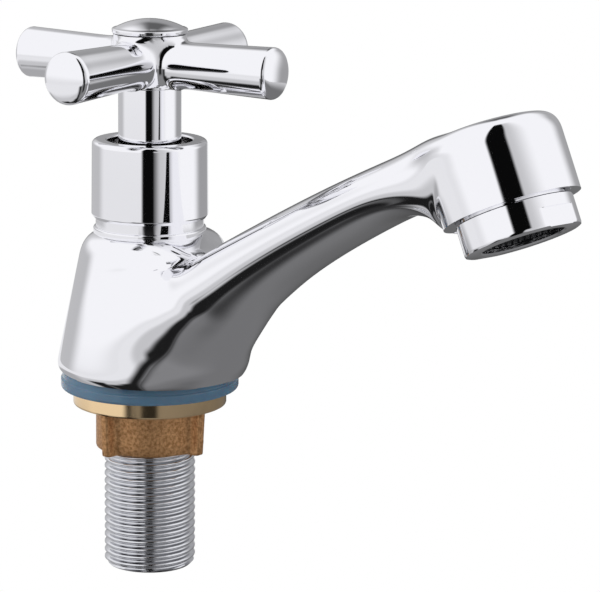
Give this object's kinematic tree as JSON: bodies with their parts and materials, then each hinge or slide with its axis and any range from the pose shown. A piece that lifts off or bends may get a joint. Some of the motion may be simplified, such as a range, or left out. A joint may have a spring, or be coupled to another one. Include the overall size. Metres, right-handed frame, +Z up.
{
  "type": "pillar basin tap with cross handle",
  "caption": "Deck-mounted chrome pillar basin tap with a cast rising spout, a cross handle, an aerator, a deck gasket and a flanged brass backnut.",
  "frame": {"origin": "on the shank axis, in the plane where the gasket's underside meets the deck", "axes": "+X out along the spout towards the outlet, +Z up the shank axis, +Y to the left when looking along the spout from the tap"},
  "size_m": [0.1601, 0.0672, 0.1267],
  "materials": {
    "chrome_plate": "polished",
    "nickel_brass": "turned, dull plated",
    "cast_brass": "sand cast, unplated",
    "turned_brass": "turned",
    "plated_steel": "zinc plated",
    "screen_steel": "woven wire",
    "clear_rubber": "translucent, satin",
    "black_rubber": "matte",
    "fibre": "pressed fibre",
    "white_plastic": "moulded",
    "grey_plastic": "moulded",
    "ceramic": "lapped ceramic"
  },
  "bodies": {
    "tap": {"tap_body": "chrome_plate", "threaded_shank": "nickel_brass", "base_gasket": "clear_rubber", "shroud": "chrome_plate", "cartridge_body": "turned_brass", "cartridge_washer": "fibre", "friction_washer": "white_plastic", "fixed_disc": "ceramic", "seat_seal": "black_rubber", "aerator_housing": "chrome_plate", "aerator_insert": "grey_plastic", "aerator_screen": "screen_steel", "aerator_washer": "black_rubber"},
    "handle": {"cross_handle": "chrome_plate", "handle_neck": "chrome_plate", "handle_screw": "plated_steel", "index_cap": "chrome_plate", "cartridge_spindle": "turned_brass", "lower_oring": "black_rubber", "upper_oring": "black_rubber", "spindle_circlip": "plated_steel", "moving_disc": "ceramic"},
    "nut": {"backnut": "cast_brass"}
  },
  "joints": [
    {"name": "handle_turn", "type": "hinge", "parent": "tap", "child": "handle", "pos_m": [0, 0, 0.0741], "axis": [0, 0, 1], "range_deg": [0, 90]},
    {"name": "backnut_run", "type": "slide", "parent": "tap", "child": "nut", "axis": [0, 0, -1], "range_m": [0, 0.025]}
  ]
}
